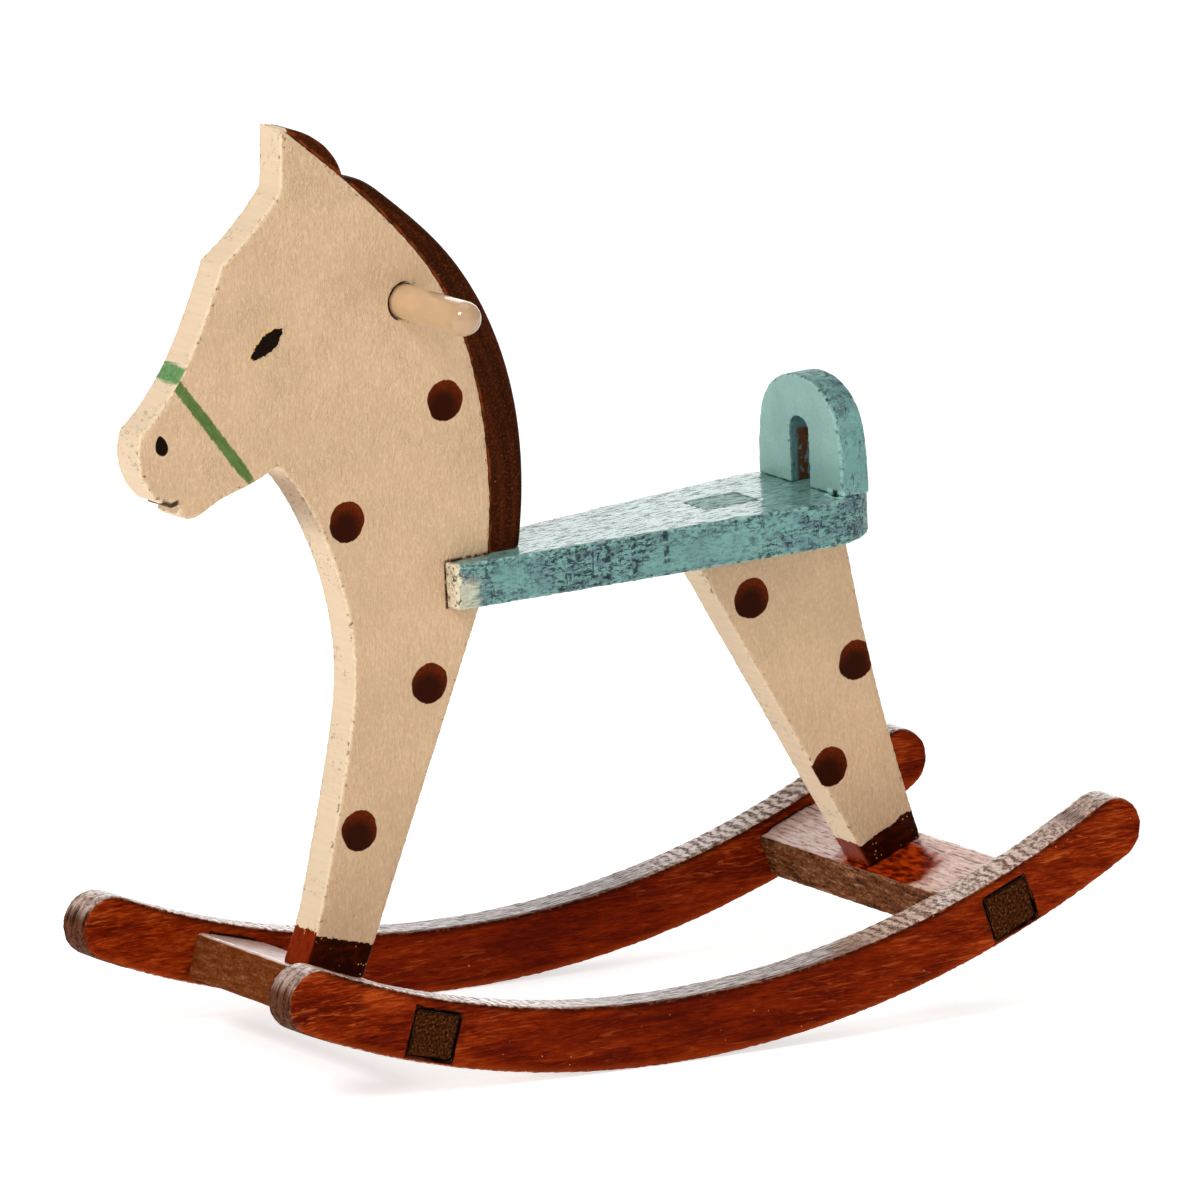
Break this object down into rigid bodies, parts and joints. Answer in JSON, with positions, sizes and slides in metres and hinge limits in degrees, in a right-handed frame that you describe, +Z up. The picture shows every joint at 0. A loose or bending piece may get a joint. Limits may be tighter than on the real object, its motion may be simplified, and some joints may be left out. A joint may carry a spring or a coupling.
{
  "type": "toy rocking horse",
  "caption": "Doll-size painted wooden rocking horse: flat sawn head and legs, forked seat with slotted back, dowel handle, curved rockers.",
  "frame": {"origin": "on the floor, midway between the rockers, under the centre of the rockers' arc: the point of contact at rest", "axes": "+X forward along the rockers, towards the head; +Y to the horse's left; +Z up"},
  "size_m": [0.1309, 0.05, 0.1134],
  "materials": {
    "rocker_stain": "glossy red-brown stain over streaky grain",
    "rail_wood": "worn brown stain, darker end grain",
    "cream_paint": "satin cream paint, brushed on, with scuffed edges",
    "mane_stain": "semi-gloss very dark brown stain",
    "teal_paint": "satin teal paint, distressed on the edges",
    "handle_lacquer": "glossy cream lacquer on a turned dowel",
    "peg_wood": "bare hidden pegs"
  },
  "bodies": {
    "root": {"left_rocker": "rocker_stain", "right_rocker": "rocker_stain", "front_rail": "rail_wood", "rear_rail": "rail_wood", "front_board": "cream_paint", "hind_leg": "cream_paint", "mane": "mane_stain", "forelock": "mane_stain", "seat": "teal_paint", "backrest": "teal_paint", "handle": "handle_lacquer", "seat_peg": "peg_wood", "backrest_pegs": "peg_wood"}
  },
  "joints": []
}
